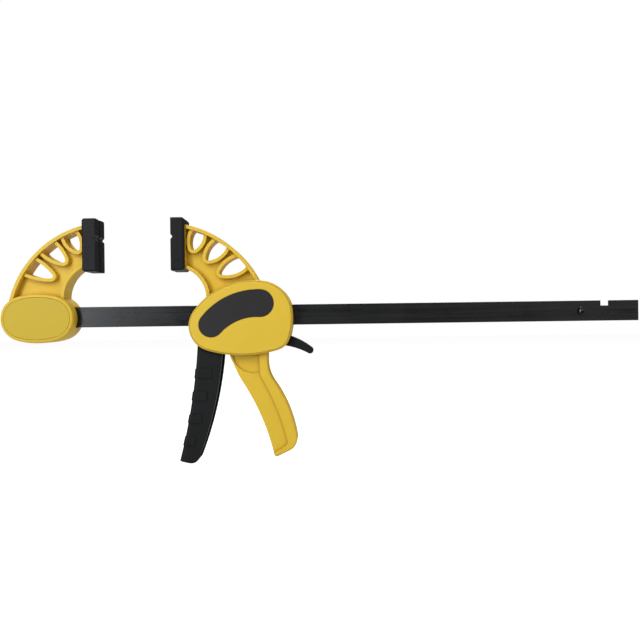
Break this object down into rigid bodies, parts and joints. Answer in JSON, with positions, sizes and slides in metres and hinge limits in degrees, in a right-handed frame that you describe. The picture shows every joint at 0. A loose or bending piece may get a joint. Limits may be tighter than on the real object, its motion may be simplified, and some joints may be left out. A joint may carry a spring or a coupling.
{
  "type": "quick release bar clamp",
  "caption": "One-handed bar clamp with a fixed jaw, a sliding head worked by a squeeze trigger, a release lever and soft jaw pads on a flat steel bar.",
  "frame": {"origin": "middle of the fixed jaw's clamping face, on the line of the clamping force", "axes": "+X along the bar from the fixed jaw towards the moving jaw and the bar's free end; +Y from the front side, with the push button and the badge, to the rear side; +Z across the bar from the handles to the jaws"},
  "size_m": [0.5294, 0.0302, 0.2033],
  "materials": {
    "yellow_nylon": "moulded, satin",
    "yellow_cover": "moulded, satin",
    "yellow_button": "moulded, satin",
    "black_nylon": "moulded, fine texture",
    "black_pad": "soft moulded pad",
    "black_badge": "flat, blank",
    "black_steel": "black oxide, oiled",
    "zinc_steel": "dulled",
    "bright_steel": "ground",
    "hardened_steel": "hardened, oiled",
    "spring_steel": "drawn wire"
  },
  "bodies": {
    "fixed_side": {"bar": "black_steel", "stop_pin": "zinc_steel", "fixed_jaw": "yellow_nylon", "fixed_jaw_pad": "black_pad", "button_spring": "spring_steel"},
    "push_button": {"push_button": "yellow_button", "jaw_catch": "bright_steel"},
    "head": {"head_body": "yellow_nylon", "front_cover": "yellow_cover", "badge": "black_badge", "cover_screws": "zinc_steel", "moving_jaw_pad": "black_pad", "trigger_pin": "bright_steel", "release_pin": "bright_steel", "drive_spring": "spring_steel", "brake_spring": "spring_steel"},
    "trigger": {"trigger": "black_nylon"},
    "drive_plates": {"drive_plate_front": "hardened_steel", "drive_plate_rear": "hardened_steel"},
    "brake": {"brake_plate": "hardened_steel"},
    "release_lever": {"release_lever": "black_nylon"}
  },
  "joints": [
    {"name": "head_slide", "type": "slide", "parent": "fixed_side", "child": "head", "axis": [1, 0, 0], "range_m": [-0.062, 0.2377]},
    {"name": "trigger_squeeze", "type": "hinge", "parent": "head", "child": "trigger", "pos_m": [0.1065, 0, -0.046], "axis": [0, -1, 0], "range_deg": [0, 26], "stiffness_Nm_per_rad": 0.35, "springref_deg": -11.46},
    {"name": "drive_plates_slide", "type": "slide", "parent": "head", "child": "drive_plates", "axis": [1, 0, 0], "range_m": [0, 0.0061], "deforming": ["drive_spring"]},
    {"name": "release_press", "type": "hinge", "parent": "head", "child": "release_lever", "pos_m": [0.1505, 0, -0.0795], "axis": [0, 1, 0], "range_deg": [0, 16], "stiffness_Nm_per_rad": 0.08, "springref_deg": -14.32},
    {"name": "brake_tip", "type": "hinge", "parent": "head", "child": "brake", "pos_m": [0.1415, 0, -0.042], "axis": [0, -1, 0], "range_deg": [0, 6.01], "deforming": ["brake_spring"]},
    {"name": "button_press", "type": "slide", "parent": "fixed_side", "child": "push_button", "axis": [0, 1, 0], "range_m": [0, 0.006], "stiffness_N_per_m": 700, "springref_m": -0.004, "deforming": ["button_spring"]}
  ],
  "couplings": [
    {"joint": "drive_plates_slide", "follows": "trigger_squeeze", "m_per_rad": 0.0133},
    {"joint": "brake_tip", "follows": "release_press", "ratio": 0.375}
  ]
}
